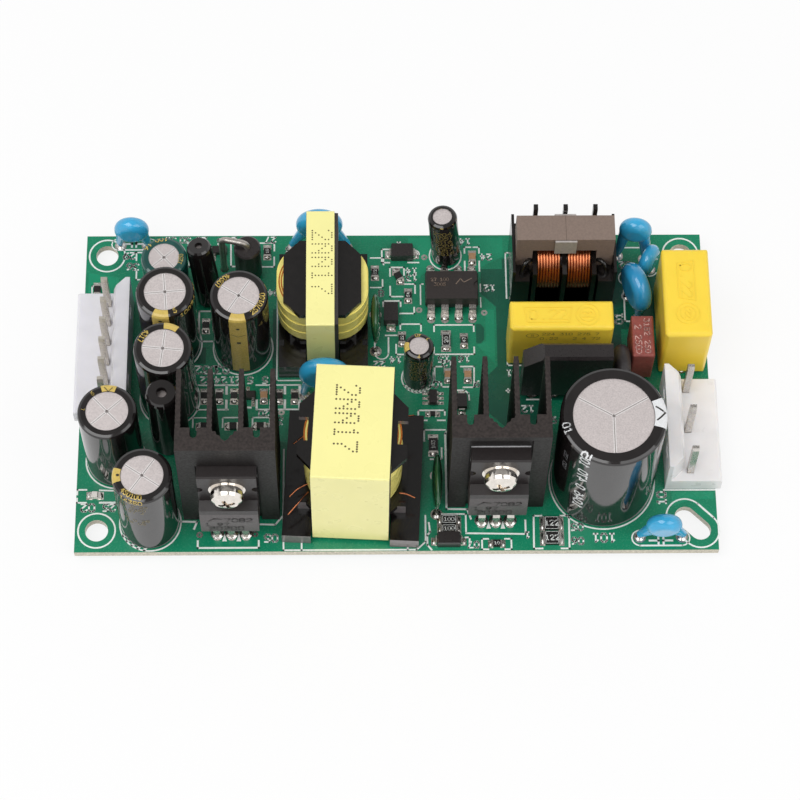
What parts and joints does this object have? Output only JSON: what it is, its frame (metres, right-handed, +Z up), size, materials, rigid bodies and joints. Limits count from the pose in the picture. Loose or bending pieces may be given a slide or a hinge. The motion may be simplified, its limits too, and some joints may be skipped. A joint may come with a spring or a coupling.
{
  "type": "open frame power supply",
  "caption": "Open frame AC-DC power supply on a green circuit board, with finned heatsinks, two transformers, capacitors and pin headers.",
  "frame": {"origin": "middle of the board in plan, at the tips of the trimmed leads below it", "axes": "+X along the board towards the input header, +Y towards the back long edge, +Z up from the board"},
  "size_m": [0.116, 0.0636, 0.0335],
  "materials": {
    "board_laminate": "satin green solder mask over glass laminate",
    "solder": "bright soft solder",
    "white_nylon": "semi-gloss moulded nylon",
    "tinned_metal": "bright tin plate",
    "can_aluminium": "satin drawn aluminium",
    "black_sleeve": "glossy shrink film",
    "green_sleeve": "glossy dark shrink film",
    "bung_rubber": "matte rubber",
    "sink_black": "dark anodised, matte",
    "mould_grey": "matte epoxy moulding",
    "mould_black": "matte epoxy moulding",
    "screw_nickel": "bright nickel plate",
    "pad_grey": "matte silicone pad",
    "ferrite": "matte sintered ferrite",
    "bobbin_black": "matte phenolic moulding",
    "tape_yellow": "glossy polyester tape",
    "copper_wire": "enamelled copper",
    "case_yellow": "glossy moulded box",
    "coat_blue": "glossy dipped coat",
    "coat_black": "matte dipped coat",
    "fuse_brown": "satin moulded box",
    "coat_green": "glossy dipped coat",
    "chip_black": "glass glaze",
    "chip_brown": "fired ceramic body",
    "led_white": "clear moulding on a white body"
  },
  "bodies": {
    "root": {"circuit_board": "board_laminate", "solder_joints": "solder", "input_header": "white_nylon", "input_header_pins": "tinned_metal", "output_header": "white_nylon", "output_header_pins": "tinned_metal", "bulk_capacitor_can": "can_aluminium", "bulk_capacitor_sleeve": "black_sleeve", "output_capacitor_cans": "can_aluminium", "output_capacitor_sleeves": "black_sleeve", "small_capacitor_cans": "can_aluminium", "small_capacitor_sleeves": "green_sleeve", "capacitor_seals": "bung_rubber", "capacitor_leads": "tinned_metal", "switch_heatsink": "sink_black", "switch_transistor": "mould_grey", "switch_transistor_leads": "tinned_metal", "rectifier_heatsink": "sink_black", "rectifier_diode": "mould_grey", "rectifier_diode_leads": "tinned_metal", "clamp_screws": "screw_nickel", "clamp_washers": "screw_nickel", "insulating_pads": "pad_grey", "heatsink_pegs": "tinned_metal", "main_transformer_core": "ferrite", "main_transformer_bobbin": "bobbin_black", "main_transformer_winding": "tape_yellow", "main_transformer_tape": "tape_yellow", "main_transformer_pins": "tinned_metal", "aux_transformer_core": "ferrite", "aux_transformer_bobbin": "bobbin_black", "aux_transformer_winding": "tape_yellow", "aux_transformer_tape": "tape_yellow", "aux_transformer_pins": "tinned_metal", "line_choke_core": "ferrite", "line_choke_bobbin": "bobbin_black", "line_choke_windings": "copper_wire", "line_choke_clip": "tinned_metal", "line_choke_pins": "tinned_metal", "x_capacitors": "case_yellow", "bridge_rectifier": "mould_black", "bridge_rectifier_leads": "tinned_metal", "inrush_thermistor": "coat_black", "fuse": "fuse_brown", "disc_capacitors": "coat_blue", "varistor": "coat_blue", "film_capacitors": "coat_green", "radial_leads": "tinned_metal", "rod_choke_sleeves": "black_sleeve", "rod_choke_cores": "ferrite", "upright_diode": "mould_black", "axial_leads": "tinned_metal", "controller_ic": "mould_grey", "controller_ic_pins": "tinned_metal", "chip_resistors": "chip_black", "chip_capacitors": "chip_brown", "chip_terminals": "tinned_metal", "smd_packages": "mould_black", "smd_leads": "tinned_metal", "status_led": "led_white"}
  },
  "joints": []
}
